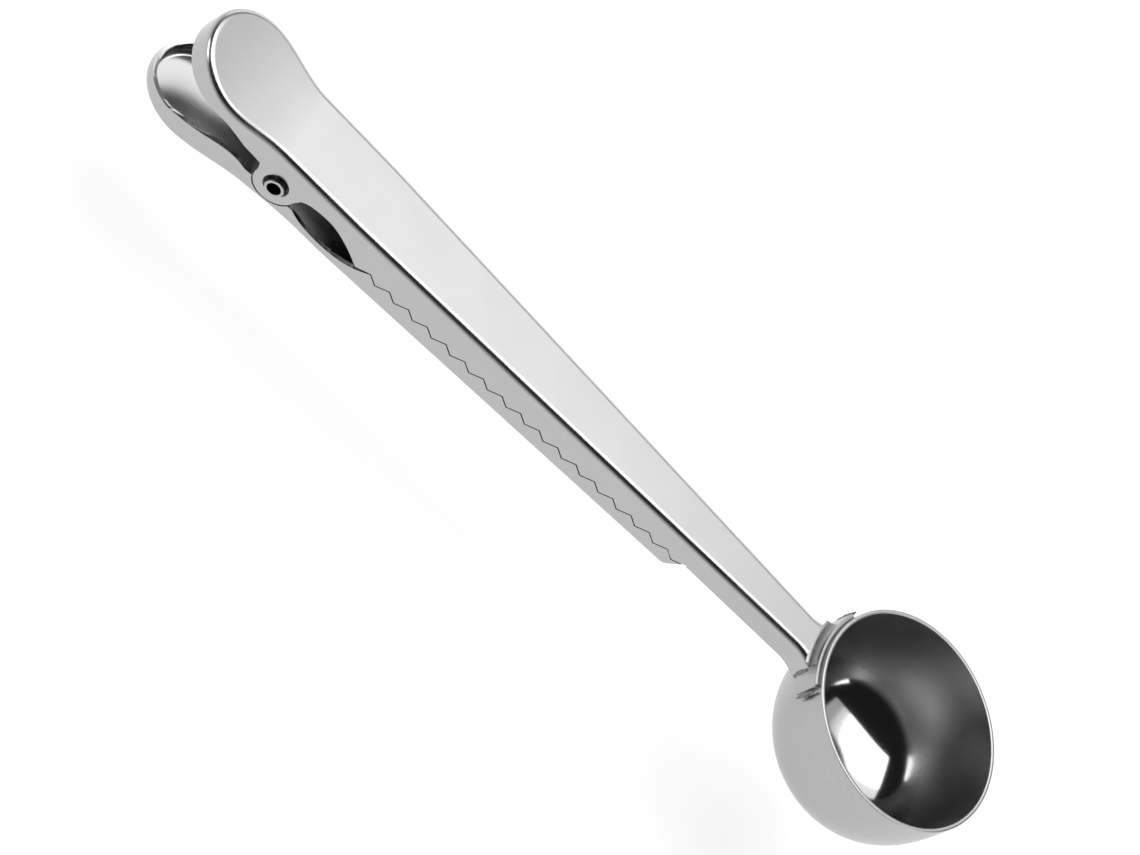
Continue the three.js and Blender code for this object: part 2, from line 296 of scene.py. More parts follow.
@dataclass
class Layout:
    """Places and sizes that both folded sheets share, in millimetres."""

    tip_x: float
    top_z: float
    pivot_x: float
    pivot_z: float
    sheet: float = 0.8
    waist_half: float = 7.95
    waist: float = 22.7
    jaw_root_half: float = 7.75
    jaw_root: float = 38.7
    neck_half: float = 3.65
    neck_end: float = 144.4
    ear_radius: float = 4.0
    jaw_start: float = 46.5
    tooth_pitch: float = 4.22
    tooth_count: int = 17
    tooth_height: float = 1.25
    tooth_lean: float = 0.47
    jaw_root_drop: float = 6.5
    jaw_tip_drop: float = 5.25
    tooth_gap: float = 0.26

    @property
    def pivot(self) -> Vector:
        """Middle of the pin, in metres."""
        return Vector((self.pivot_x, 0, self.pivot_z)) * MM

    @property
    def pivot_station(self) -> float:
        """Station of the pin."""
        return self.pivot_x - self.tip_x

    @property
    def jaw_end(self) -> float:
        """Station of the last tooth."""
        return self.jaw_start + self.tooth_count * self.tooth_pitch

    def thumb_half(self, along: float, widest: float, length: float, waist: float) -> float:
        """Half-width of a rounded thumb end that blends into the waist."""
        if along < length:
            return widest * math.sqrt(max(0.0, 1 - ((length - along) / length) ** 2))
        share = min((along - length) / (waist - length), 1)
        return self.waist_half + (widest - self.waist_half) * (1 + math.cos(math.pi * share)) / 2

    def taper_half(self, s: float) -> float:
        """Half-width from the waist to the bowl."""
        if s < self.jaw_root:
            share = (s - self.waist) / (self.jaw_root - self.waist)
            return lerp(self.waist_half, self.jaw_root_half, share)
        share = (s - self.jaw_root) / (self.neck_end - self.jaw_root)
        return lerp(self.jaw_root_half, self.neck_half, share)

    def teeth(self, offset: float) -> Profile:
        """The zigzag that both jaws share, moved up by an offset, as stations and heights."""
        points = []
        for i in range(self.tooth_count + 1):
            s = self.jaw_start + i * self.tooth_pitch
            middle = self.top_z - lerp(self.jaw_root_drop, self.jaw_tip_drop, i / self.tooth_count)
            points.append((s, middle + offset + self.tooth_height / 2))
            if i < self.tooth_count:
                lean = self.tooth_pitch * self.tooth_lean
                points.append((s + lean, middle + offset - self.tooth_height / 2))
        return points

    def between(self, points: Profile, start: float, end: float, count: int) -> Profile:
        """A smooth run through points of share and drop between two stations."""
        through = [(lerp(start, end, share), self.top_z - drop) for share, drop in points]
        return smooth_run(through, count)


@dataclass
class FoldedSheet:
    """A channel folded from one sheet: a floor, a round bend, and a flange all round its edge."""

    layout: Layout
    lead: float
    thumb_widest: float
    thumb_length: float
    past_end: float
    bend: float
    pin_hole: float = 2.3
    edge: float = 0.1
    bend_steps: int = 9
    round_start: float = 0.06
    round_steps: int = 22
    blend_steps: int = 16
    least_room: float = 0.2
    least_step: float = 0.03

    def half(self, s: float) -> float:
        """Half-width at a station."""
        raise NotImplementedError

    def floor(self, s: float) -> float:
        """Height of the outer face of the floor at a station."""
        raise NotImplementedError

    def rim(self) -> Profile:
        """The free edge of the flange, as stations and heights."""
        raise NotImplementedError

    def stations(self) -> list[float]:
        """Every station where the outline or the free edge turns, in order."""
        lay = self.layout
        turns = steps(self.round_start, math.pi / 2, self.round_steps)
        round_end = [self.thumb_length * (1 - math.cos(angle)) - self.lead for angle in turns]
        after = steps(self.thumb_length, lay.waist + self.lead, self.blend_steps)[1:]
        outline = [*round_end, *[s - self.lead for s in after], lay.jaw_root, *self.extra()]
        # Where the outline is round, an edge much shorter than its neighbours folds over in
        # the bend, so a free-edge station there needs room on both sides.
        free = [
            s for s, _ in self.rim()
            if s > lay.waist or min(abs(s - other) for other in outline) > self.least_room
        ]
        kept = []
        for s in sorted(s for s in [*outline, *free] if round_end[0] <= s < self.past_end):
            if not kept or s - kept[-1] > self.least_step:
                kept.append(s)
        return [*kept, self.past_end]

    def extra(self) -> list[float]:
        """Further stations where the outline turns."""
        return []

    def plate(self, name: str, stations: list[float]) -> bpy.types.Object:
        """Draws the plan out of a small plane, edge by edge, and melts it into one flat face."""
        first, second = stations[0], stations[1]
        x = self.layout.tip_x
        obj = primitive(
            name, bpy.ops.mesh.primitive_plane_add, size=1,
            location=((x + (first + second) / 2) * MM, 0, 0),
            stretch=((second - first) * MM, 2 * self.half(first) * MM, 1),
        )
        with editing(obj):
            limit = (x + (first + second) / 2) * MM
            pick(obj, Pick.EDGES, lambda e: all(v.co.x > limit for v in e.verts))
            bpy.ops.transform.resize(value=(1, self.half(second) / self.half(first), 1))
            for s, after in zip(stations[1:], stations[2:]):
                bpy.ops.mesh.extrude_region_move(
                    TRANSFORM_OT_translate={"value": ((after - s) * MM, 0, 0)},
                )
                bpy.ops.transform.resize(value=(1, self.half(after) / self.half(s), 1))
            pick(obj, Pick.EDGES, lambda e: not e.is_boundary)
            bpy.ops.mesh.dissolve_edges(use_verts=False)
            bpy.ops.mesh.select_all(action="SELECT")
            bpy.ops.mesh.normals_make_consistent(inside=False)
            if bmesh.from_edit_mesh(obj.data).faces[:][0].normal.z < 0:
                bpy.ops.mesh.flip_normals()
        return obj

    def fold(self, obj: bpy.types.Object, depth: float) -> None:
        """Draws the flange down from the outline, then rounds the bend up to the floor."""
        bend = self.bend * MM
        end_x = (self.layout.tip_x + self.past_end) * MM - TINY
        with editing(obj):
            pick(obj, Pick.EDGES, lambda e: not all(v.co.x > end_x for v in e.verts))
            bpy.ops.mesh.extrude_region_move(
                TRANSFORM_OT_translate={"value": (0, 0, (self.bend - depth) * MM)},
            )
            pick(obj, Pick.FACES, lambda f: abs(f.normal.z) > FACING)
            turns = steps(0, math.pi / 2, self.bend_steps)
            for a, b in zip(turns, turns[1:]):
                bpy.ops.mesh.inset(
                    thickness=bend * (math.cos(a) - math.cos(b)),
                    depth=bend * (math.sin(b) - math.sin(a)),
                    use_even_offset=True, use_boundary=True,
                )
            bpy.ops.mesh.select_all(action="SELECT")
            bpy.ops.transform.translate(value=(0, 0, -bend))

    def score(self, obj: bpy.types.Object, stations: list[float]) -> None:
        """Cuts the whole sheet across at stations, so that the floor can curve there."""
        with editing(obj):
            for s in stations:
                bpy.ops.mesh.select_all(action="SELECT")
                bpy.ops.mesh.bisect(
                    plane_co=((self.layout.tip_x + s) * MM, 0, 0), plane_no=(1, 0, 0),
                )

    def shape_sides(self, obj: bpy.types.Object, depth: float, up: int) -> None:
        """Moves the floor and bend to the floor's height and the flange's edge to the rim line.

        Args:
            obj: The folded sheet, with its floor at height 0.
            depth: How far the flange was drawn, in millimetres.
            up: 1 where the floor is on top, and -1 where it is below.
        """
        rim = self.rim()
        margin = 0.01
        free = (margin - depth) * MM
        with editing(obj):
            if up < 0:
                bpy.ops.mesh.select_all(action="SELECT")
                bpy.ops.transform.resize(value=(1, 1, -1), center_override=(0, 0, 0))
                bpy.ops.mesh.flip_normals()
            shape = bmesh.from_edit_mesh(obj.data)
            for vert in shape.verts:
                s = vert.co.x / MM - self.layout.tip_x
                if vert.co.z * up < free:
                    vert.co.z = level_at(rim, s) * MM
                else:
                    vert.co.z += self.floor(s) * MM
            bmesh.update_edit_mesh(obj.data)

    def thicken(self, obj: bpy.types.Object) -> None:
        """Gives the sheet its thickness, inwards."""
        finish_with(
            obj, "SOLIDIFY", thickness=self.layout.sheet * MM, offset=-1,
            use_even_offset=True, use_rim=True,
        )
        outward(obj)


@dataclass
class Handle(FoldedSheet):
    """The upper sheet: thumb pad, channel with a toothed edge, ears, and a narrow neck."""

    thumb_lift: float = 2.3
    flare_length: float = 4.0
    flare_width: float = 1.3
    neck_skirt: float = 4.75
    bowl_clear: float = 19.45
    depth: float = 11.4
    skirt_step: float = 0.3
    score_margin: float = 0.6
    thumb_edge: tuple = (
        (-0.05, 2.6), (0.22, 2.3), (0.5, 1.75), (0.66, 2.7), (0.79, 4), (0.97, 5.1),
    )
    window_edge: tuple = ((0.03, 4.9), (0.13, 4), (0.38, 3.65), (0.62, 4.9), (0.85, 7))

    def half(self, s: float) -> float:
        """Half-width: rounded thumb end, waist, taper, and a flare at the bowl."""
        lay = self.layout
        if s < lay.waist:
            return lay.thumb_half(s + self.lead, self.thumb_widest, self.thumb_length, lay.waist)
        flare = min(1.0, max(0.0, (s - lay.neck_end + self.flare_length) / self.flare_length))
        return lay.taper_half(s) + self.flare_width * flare ** 2

    def floor(self, s: float) -> float:
        """The top face: level, with the thumb end curving up."""
        away = max(0.0, self.layout.waist - s) / self.layout.waist
        return self.layout.top_z + self.thumb_lift * away ** 1.5

    def extra(self) -> list[float]:
        """Stations along the flare at the bowl."""
        return steps(self.layout.neck_end - self.flare_length, self.layout.neck_end, 8)

    def rim(self) -> Profile:
        """Lower edge: over the thumb gap, round the ear, over the window, teeth, neck skirt."""
        lay = self.layout
        back = lay.pivot_station - lay.ear_radius
        front = lay.pivot_station + lay.ear_radius
        ear = [
            (lay.pivot_station + lay.ear_radius * math.cos(angle),
             lay.pivot_z + lay.ear_radius * math.sin(angle))
            for angle in steps(math.pi, 2 * math.pi, 24)
        ]
        return [
            *lay.between(list(self.thumb_edge), 0, back, 24),
            *ear,
            *lay.between(list(self.window_edge), front, lay.jaw_start, 18),
            *lay.teeth(lay.tooth_gap / 2),
            (lay.jaw_end + self.skirt_step, lay.top_z - self.neck_skirt),
            (lay.neck_end + PAST_END, lay.top_z - self.neck_skirt),
        ]

    def build(self) -> bpy.types.Object:
        """Folds and cuts the handle's sheet."""
        lay = self.layout
        obj = self.plate("folded_handle", self.stations())
        self.fold(obj, self.depth)
        self.score(obj, steps(self.score_margin, lay.waist - self.score_margin, 20))
        self.shape_sides(obj, self.depth, 1)
        self.thicken(obj)
        hole = self.pin_hole * MM
        carve(obj, cross_bar("pin_hole", lay.pivot, hole, ACROSS * MM, HOLE_SIDES))
        carve(obj, primitive(
            "bowl_clearance", bpy.ops.mesh.primitive_cylinder_add, vertices=BOWL_SIDES,
            radius=self.bowl_clear * MM, depth=100 * MM,
        ))
        polish_shape(obj, self.edge)
        return obj


@dataclass
class ClipLever(FoldedSheet):
    """The lower sheet: thumb pad, lugs round the pin, and the toothed lower jaw."""

    belly_drop: float = 11.6
    tip_drop: float = 15.9
    knee: float = 30.3
    end_drop: float = 9.3
    tip_rim: float = 3.3
    end: float = 117.6
    end_slant: float = 2.0
    notch_gap: float = 0.25
    lug_radius: float = 3.6
    lug_gap: float = 0.15
    soften: float = 3.5
    depth: float = 13.6
    thumb_edge: tuple = (
        (0.22, 11.2), (0.34, 9.9), (0.51, 8.8), (0.68, 8), (0.83, 8), (0.95, 8.7),
    )
    window_edge: tuple = ((0.05, 7.9), (0.21, 8.8), (0.45, 9.1), (0.72, 8.6), (0.88, 7.5))

    def half(self, s: float) -> float:
        """Half-width: rounded thumb end, then flush under the handle."""
        lay = self.layout
        if s < lay.waist:
            return lay.thumb_half(
                s + self.lead, self.thumb_widest, self.thumb_length, lay.waist + self.lead,
            )
        return lay.taper_half(s)

    def ramp(self, away: float) -> float:
        """A slope that starts softly: 0 before, and the distance itself past the corner."""
        if away <= -self.soften:
            return 0.0
        if away >= self.soften:
            return away
        return (away + self.soften) ** 2 / (4 * self.soften)

    def floor(self, s: float) -> float:
        """The underside: a pad bent down from the knee, and a gentle rise along the jaw."""
        lay = self.layout
        fall = (self.tip_drop - self.belly_drop) / (self.knee + self.lead)
        rise = (self.belly_drop - self.end_drop) / (self.end - lay.jaw_root)
        pad = fall * self.ramp(self.knee - s)
        return lay.top_z - self.belly_drop - pad + rise * self.ramp(s - lay.jaw_root)

    def rim(self) -> Profile:
        """Upper edge, from thumb tip to the jaw's end."""
        lay = self.layout
        back = lay.pivot_station - lay.ear_radius
        front = lay.pivot_station + lay.ear_radius
        tip = self.tip_drop - self.tip_rim
        return [
            *lay.between([(-0.1, tip + lay.sheet / 2), (0, tip), *self.thumb_edge], 0, back, 28),
            *lay.between(list(self.window_edge), front, lay.jaw_start, 18),
            *lay.teeth(-lay.tooth_gap / 2),
            (self.end + PAST_END, lay.top_z - lay.jaw_tip_drop),
        ]

    def end_cutter(self) -> bpy.types.Object:
        """The block that leaves the jaw's slanted end."""
        lay = self.layout
        end = (lay.tip_x + self.end) * MM
        slant = self.end_slant * MM
        low = (lay.top_z - self.end_drop + lay.sheet) * MM
        high = (lay.top_z - lay.jaw_tip_drop) * MM
        far = BEYOND * MM
        obj = block("end_cutter", Vector((end - slant, -far, -far)), Vector((end + far, far, low)))
        with editing(obj):
            pick(obj, Pick.FACES, lambda f: f.normal.z > FACING)
            bpy.ops.mesh.extrude_region_move(TRANSFORM_OT_translate={"value": (0, 0, high - low)})
            pick(obj, Pick.VERTS, lambda v: v.co.z > high - TINY and v.co.x < end)
            bpy.ops.transform.translate(value=(slant, 0, 0))
            pick(obj, Pick.FACES, lambda f: f.normal.z > FACING)
            bpy.ops.mesh.extrude_region_move(TRANSFORM_OT_translate={"value": (0, 0, far)})
        return obj

    def lug(self, side: int) -> bpy.types.Object:
        """A plate standing inside the handle's ear, which the pin passes through."""
        lay = self.layout
        station = lay.pivot_station
        outer = (lay.taper_half(station + self.lug_radius) - lay.sheet - self.lug_gap) * MM
        centre = lay.pivot
        centre.y = side * (outer - lay.sheet * MM / 2)
        obj = cross_bar("lug", centre, self.lug_radius * MM, lay.sheet * MM / 2, HOLE_SIDES)
        foot = (self.floor(station) + lay.sheet) * MM
        with editing(obj):
            pick(obj, Pick.FACES, lambda f: f.normal.z < -0.02)
            bpy.ops.mesh.extrude_region_move(
                TRANSFORM_OT_translate={"value": (0, 0, foot - centre.z)},
            )
            shape = bmesh.from_edit_mesh(obj.data)
            for vert in shape.verts:
                if vert.co.z < centre.z - 2 * TINY and vert.select:
                    vert.co.z = foot
            bmesh.update_edit_mesh(obj.data)
        outward(obj)
        return obj

    def build(self) -> bpy.types.Object:
        """Folds and cuts the lever's sheet, with its two lugs."""
        lay = self.layout
        obj = self.plate("toothed_lever", self.stations())
        self.fold(obj, self.depth)
        knee = steps(self.knee - self.soften, self.knee + self.soften, 6)
        root = steps(lay.jaw_root - self.soften, lay.jaw_root + self.soften, 4)
        self.score(obj, [*knee, *root])
        self.shape_sides(obj, self.depth, -1)
        self.thicken(obj)
        carve(obj, self.end_cutter())
        notch = (lay.ear_radius + self.notch_gap) * MM
        carve(obj, cross_bar("ear_notch", lay.pivot, notch, ACROSS * MM, NOTCH_SIDES))
        for side in (-1, 1):
            carve(obj, self.lug(side), "UNION")
        hole = self.pin_hole * MM
        carve(obj, cross_bar("pin_hole", lay.pivot, hole, ACROSS * MM, HOLE_SIDES))
        polish_shape(obj, self.edge)
        return obj


# ---- Bowl and its joint -----------------------------------------------------


@dataclass
class Bowl:
    """A drawn round cup with straight sides at the mouth, which flattens towards its base."""

    radius: float = 19.0
    depth: float = 22.0
    wall: float = 0.7
    straight: float = 3.0
    fullness: float = 2.55
    curve_steps: int = 48
    turn_steps: int = 144
    edge: float = 0.14
    sharp: float = 50.0

    def profile(self) -> Profile:
        """The outer half-section, from the base's centre up to the rim."""
        high = self.depth - self.straight
        power = 2 / self.fullness
        curve = [
            (self.radius * math.sin(angle) ** power, high - high * math.cos(angle) ** power)
            for angle in steps(0, math.pi / 2, self.curve_steps)
        ]
        return [*curve[:-1], (self.radius, high), (self.radius, self.depth)]

    def build(self) -> bpy.types.Object:
        """Draws the half-section point by point and spins it round."""
        points = self.profile()
        obj = primitive("drawn_bowl", bpy.ops.mesh.primitive_plane_add, size=MM)
        with editing(obj):
            pick(obj, Pick.VERTS, lambda v: v.co.x > 0 or v.co.y > 0)
            bpy.ops.mesh.delete(type="VERT")
            bpy.ops.mesh.select_all(action="SELECT")
            corner = bmesh.from_edit_mesh(obj.data).verts[:][0].co
            bpy.ops.transform.translate(value=-corner)
            for (r0, z0), (r1, z1) in zip(points, points[1:]):
                bpy.ops.mesh.extrude_region_move(
                    TRANSFORM_OT_translate={"value": ((r1 - r0) * MM, 0, (z1 - z0) * MM)},
                )
            bpy.ops.mesh.select_all(action="SELECT")
            bpy.ops.mesh.spin(
                steps=self.turn_steps, angle=2 * math.pi, center=(0, 0, 0), axis=(0, 0, 1),
                use_auto_merge=True,
            )
        outward(obj)
        finish_with(obj, "SOLIDIFY", thickness=self.wall * MM, offset=-1, use_even_offset=True)
        self.keep_inside(obj)
        polish_shape(obj, self.edge, self.sharp)
        return obj

    def keep_inside(self, obj: bpy.types.Object) -> None:
        """Gives the faces of the cup's inside their own material slot."""
        turned = 0.3
        for face in obj.data.polygons:
            away = Vector((face.center.x, face.center.y, 0))
            inward = face.normal.dot(away.normalized()) if away.length > TINY else 0
            low = face.center.z < self.depth * MM / 2 and face.normal.z > turned
            face.material_index = 1 if inward < -turned or low else 0


@dataclass
class Saddle:
    """The curved foot that joins the neck to the bowl, with its welds.

    Attributes:
        half_angle: How far it reaches round the bowl on each side, in degrees.
        painted_shade_above: Faces that look up by more than this share get the darker, duller
            finish, which is painted shade there.
        fillet_cut: Share of its size by which the bend's corner is cut back.
        swell: Size and height of the weld metal's swells.
        ripple: Size and height of its ripples.
    """

    layout: Layout
    inner: float = 19.03
    sheet: float = 0.72
    half_angle: float = 26.0
    low: float = 16.0
    high: float = 21.3
    corner: float = 0.9
    painted_shade_above: float = 0.4
    fillet: float = 1.5
    fillet_angle: float = 13.5
    fillet_overlap: float = 0.12
    fillet_cut: float = 0.93
    fillet_hollow: float = 0.13
    toe_at: tuple[float, float, float] = (-18.9, 4.95, 17.0)
    toe_size: tuple[float, float, float] = (0.6, 0.4, 1.9)
    swell: tuple[float, float] = (0.8, 0.16)
    ripple: tuple[float, float] = (0.16, 0.03)

    def build(self) -> bpy.types.Object:
        """Spins a short upright section part of the way round the bowl."""
        angle = math.radians(self.half_angle)
        obj = primitive(
            "saddle_foot", bpy.ops.mesh.primitive_plane_add, size=1,
            location=(-(self.inner + self.sheet / 2) * MM, 0, (self.low + self.high) / 2 * MM),
            stretch=(self.sheet * MM, (self.high - self.low) * MM, 1),
            rotation=(math.pi / 2, 0, 0),
        )
        spun(obj, angle, 40)
        end_margin = 0.2
        reach = ((self.inner + self.sheet / 2) * math.sin(angle) - end_margin) * MM
        with editing(obj):
            pick(obj, Pick.EDGES, lambda e: all(abs(v.co.y) > reach for v in e.verts)
                 and abs(e.verts[0].co.z - e.verts[1].co.z) < TINY)
            bpy.ops.mesh.bevel(
                offset=self.corner * MM, segments=6, affect="EDGES", clamp_overlap=False,
            )
        polish_shape(obj, 0.1)
        # Faces that look up get the darker, duller finish: painted shade.
        for face in obj.data.polygons:
            face.material_index = 1 if face.normal.z > self.painted_shade_above else 0
        return obj

    def fillet_strip(self) -> bpy.types.Object:
        """The inside bend where the neck's top face turns up into the foot."""
        size = self.fillet * MM
        radius = (self.inner + self.sheet - self.fillet_overlap) * MM
        top = (self.layout.top_z - self.fillet_overlap) * MM
        obj = primitive(
            "neck_bend", bpy.ops.mesh.primitive_plane_add, size=1,
            location=(-radius - size / 2, 0, top + size / 2), stretch=(size, size, 1),
            rotation=(math.pi / 2, 0, 0),
        )
        far_x, upper_z = -radius - size / 2, top + size / 2
        with editing(obj):
            pick(obj, Pick.VERTS, lambda v: v.co.x < far_x and v.co.z > upper_z)
            bpy.ops.mesh.bevel(
                offset=size * self.fillet_cut, segments=10, profile=self.fillet_hollow,
                affect="VERTICES", clamp_overlap=False,
            )
        spun(obj, math.radians(self.fillet_angle), 24)
        polish_shape(obj, 0)
        return obj

    def bead(self, name: str, node: str) -> bpy.types.Object:
        """A lumpy run of weld metal that fills the corner at one end of the foot."""
        low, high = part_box(node)
        slim = Vector((0.8, 0.8, 1))
        return self.lump(name, (low + high) / 2, (high - low) / 2 * slim)

    def toe(self, name: str, side: int) -> bpy.types.Object:
        """The short spattered weld where the neck's flange ends on the bowl."""
        centre = Vector(self.toe_at)
        centre.y *= side
        return self.lump(name, centre * MM, Vector(self.toe_size) * MM)

    def lump(self, name: str, centre: Vector, half: Vector) -> bpy.types.Object:
        """A rounded lump of weld metal with uneven swells and ripples, sized in metres."""
        obj = primitive(
            name, bpy.ops.mesh.primitive_uv_sphere_add, segments=48, ring_count=48,
            radius=1, location=centre, stretch=half,
        )
        with editing(obj):
            shape = bmesh.from_edit_mesh(obj.data)
            for vert in shape.verts:
                swell = noise.noise(vert.co / (self.swell[0] * MM)) * self.swell[1] * MM
                ripple = math.sin(vert.co.z / (self.ripple[0] * MM)) * self.ripple[1] * MM
                vert.co += Vector(vert.normal) * (swell + ripple)
            bmesh.update_edit_mesh(obj.data)
        polish_shape(obj, 0, 80)
        return obj


# ---- Pin and spring ---------------------------------------------------------


@dataclass
class HollowPin:
    """A tube through the ears and lugs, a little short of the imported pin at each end."""

    radius: float = 1.72
    wall: float = 0.5
    rounding: float = 0.12
    short: float = 0.35

    def build(self) -> bpy.types.Object:
        """Bores a cylinder through and rounds its mouths."""
        low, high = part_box("pivot_pin")
        half = (high.y - low.y) / 2 - self.short * MM
        centre = (low + high) / 2
        obj = cross_bar("hollow_pin", centre, self.radius * MM, half, 72)
        with editing(obj):
            pick(obj, Pick.FACES, lambda f: abs(f.normal.y) > FACING)
            bpy.ops.mesh.inset(thickness=self.wall * MM, use_even_offset=True)
            bpy.ops.mesh.delete(type="FACE")
            bore = (self.radius - self.wall) * MM + 1e-5
            pick(obj, Pick.EDGES, lambda e: e.is_boundary and all(
                math.hypot(v.co.x - centre.x, v.co.z - centre.z) < bore for v in e.verts))
            bpy.ops.mesh.bridge_edge_loops()
        outward(obj)
        polish_shape(obj, self.rounding)
        return obj


@dataclass
class TorsionSpring:
    """Wire wound round the pin, with a straight leg to each thumb pad."""

    layout: Layout
    wire: float = 0.4
    coil: float = 2.65
    turns: float = 6.5
    pitch: float = 1.15
    leg: float = 11.5
    leg_gap: float = 0.3
    leg_bow: float = 0.5
    points_per_turn: int = 24

    @property
    def half(self) -> float:
        """Half the length of the coil."""
        return self.turns * self.pitch / 2

    def build(self, upper: Handle, lower: ClipLever) -> bpy.types.Object:
        """Draws the wire's line as a curve, gives it its thickness and makes it a mesh."""
        lay = self.layout
        half = self.half
        clear = lay.sheet + self.wire + self.leg_gap
        station = lay.pivot_station - self.leg
        high = upper.floor(station) - clear
        low = lower.floor(station) + clear
        points = [
            (lay.pivot_x - self.leg, -half, high),
            (lay.pivot_x - self.leg / 2, -half, high - self.leg_bow),
        ]
        for i in range(int(self.turns * self.points_per_turn) + 1):
            turn = i / self.points_per_turn
            angle = math.pi / 2 - 2 * math.pi * turn
            points.append((
                lay.pivot_x + self.coil * math.cos(angle), self.pitch * turn - half,
                lay.pivot_z + self.coil * math.sin(angle),
            ))
        points.append((lay.pivot_x - self.leg, half, low))
        curve = bpy.data.curves.new("coil_spring", "CURVE")
        curve.dimensions = "3D"
        curve.bevel_depth = self.wire * MM
        curve.bevel_resolution = 4
        curve.use_fill_caps = True
        line = curve.splines.new("POLY")
        line.points.add(len(points) - 1)
        for spot, point in zip(line.points, points):
            spot.co = (*[value * MM for value in point], 1)
        obj = bpy.data.objects.new("coil_spring", curve)
        bpy.context.scene.collection.objects.link(obj)
        only(obj)
        bpy.ops.object.convert(target="MESH")
        outward(obj)
        polish_shape(obj, 0, 60)
        return obj


# ---- Finishes ---------------------------------------------------------------


def linear(code: str) -> tuple[float, float, float, float]:
    """Turns an sRGB hex colour into linear values with full alpha."""
    values = [int(code.lstrip("#")[i:i + 2], 16) / 255 for i in (0, 2, 4)]
    return (*[v / 12.92 if v <= 0.04045 else ((v + 0.055) / 1.055) ** 2.4 for v in values], 1.0)


def add_node(
    tree: bpy.types.NodeTree, kind: str, links: dict | None = None, **settings: object,
) -> bpy.types.Node:
    """Adds a shader node with its settings and links.

    Args:
        tree: The node tree of a material or world.
        kind: The node's type.
        links: What each input is fed by: an output socket, or a plain value.
        settings: Attributes of the node itself.

    Returns:
        The new node.
    """
    made = tree.nodes.new(kind)
    for key, value in settings.items():
        setattr(made, key, value)
    for key, value in (links or {}).items():
        if isinstance(value, bpy.types.NodeSocket):
            tree.links.new(value, made.inputs[key])
        else:
            made.inputs[key].default_value = value
    return made


# Size of the clouding that polishing leaves, in millimetres.
CLOUD = 9.0

# The range of the noise that the roughness spreads over.
NOISE_RANGE = (0.1, 0.45)


@dataclass(frozen=True)
class SteelFinish:
    """Stainless steel with fine lines left by its making.

    Attributes:
        name: The common name of the finish.
        light: Colour of the clean metal, sRGB hex.
        dark: Colour in the lines, sRGB hex.
        roughness: The least and greatest roughness.
        grain: Size of the lines along X, Y and Z, in millimetres.
        depth: Depth of the lines, in millimetres.
        bright_floor: Heights, in millimetres, where the bright floor ends and the rest of
            the finish begins, or nothing where there is no such floor.
        floor_roughness: Roughness of the bright floor.
    """

    name: str
    light: str
    dark: str
    roughness: tuple[float, float]
    grain: tuple[float, float, float]
    depth: float
    bright_floor: tuple[float, float] | None = None
    floor_roughness: float = 0.1

    def make(self) -> bpy.types.Material:
        """Builds the node material."""
        material = bpy.data.materials.new(self.name)
        material.use_nodes = True
        tree = material.node_tree
        tree.nodes.clear()
        where = add_node(tree, "ShaderNodeTexCoord")
        scale = tuple(1 / (size * MM) for size in self.grain)
        lines_at = add_node(
            tree, "ShaderNodeMapping", {"Vector": where.outputs["Object"], "Scale": scale},
        )
        lines = add_node(
            tree, "ShaderNodeTexNoise",
            {"Vector": lines_at.outputs["Vector"], "Scale": 1.0, "Detail": 3.0, "Roughness": 0.6},
        )
        cloud = add_node(
            tree, "ShaderNodeTexNoise",
            {"Vector": where.outputs["Object"], "Scale": 1 / (CLOUD * MM), "Detail": 2.0},
        )
        tint = add_node(
            tree, "ShaderNodeMix",
            {"Factor": lines.outputs["Fac"], "A": linear(self.dark), "B": linear(self.light)},
            data_type="RGBA",
        )
        mixed = add_node(
            tree, "ShaderNodeMath",
            {0: lines.outputs["Fac"], 1: cloud.outputs["Fac"]}, operation="MULTIPLY",
        )
        rough = add_node(
            tree, "ShaderNodeMapRange",
            {"Value": mixed.outputs[0],
             "From Min": NOISE_RANGE[0], "From Max": NOISE_RANGE[1],
             "To Min": self.roughness[0], "To Max": self.roughness[1]},
        )
        if self.bright_floor:
            split = add_node(tree, "ShaderNodeSeparateXYZ", {"Vector": where.outputs["Object"]})
            low, high = self.bright_floor
            rough = add_node(
                tree, "ShaderNodeMapRange",
                {"Value": split.outputs["Z"], "From Min": low * MM, "From Max": high * MM,
                 "To Min": self.floor_roughness, "To Max": rough.outputs["Result"]},
                interpolation_type="SMOOTHSTEP",
            )
        bump = add_node(
            tree, "ShaderNodeBump",
            {"Height": lines.outputs["Fac"], "Distance": self.depth * MM, "Strength": 1.0},
        )
        shader = add_node(
            tree, "ShaderNodeBsdfPrincipled",
            {"Base Color": tint.outputs["Result"], "Metallic": 1.0,
             "Roughness": rough.outputs["Result"], "Normal": bump.outputs["Normal"]},
        )
        add_node(tree, "ShaderNodeOutputMaterial", {"Surface": shader.outputs["BSDF"]})
        return material


# The lines of every finish are drawn about ten times coarser than the real ones.

# Cold-rolled 304 stainless, tumble-polished after folding: soft clear reflections.
SATIN = SteelFinish(
    "satin stainless sheet", "#B9B9B9", "#B0B0B0", (0.18, 0.25), (14, 0.35, 0.35), 0.0006)
# Deep-drawn stainless, brushed round the outside: broad soft reflections.
DRAWN = SteelFinish(
    "brushed drawn stainless", "#B6B6B6", "#AAAAAA", (0.26, 0.34), (1.2, 1.2, 0.35), 0.0008)
# The cup's inside: a floor burnished bright by the punch, and walls scuffed up and down by it.
PUNCHED = SteelFinish(
    "punch-burnished stainless", "#B4B4B4", "#A2A2A2", (0.3, 0.42), (0.5, 0.5, 9.0), 0.0008,
    bright_floor=(4.5, 8.5))
# Sheet beside a weld, dulled and darkened by its heat; its darker colour is also painted shade, on
# the foot's up-facing faces and over the bend at the neck.
HEAT_TINT_AND_SHADE = SteelFinish(
    "heat-tinted and painted-shade stainless sheet", "#A6A5A4", "#8C8B8A", (0.26, 0.38), (0.9, 0.9, 0.9), 0.004)
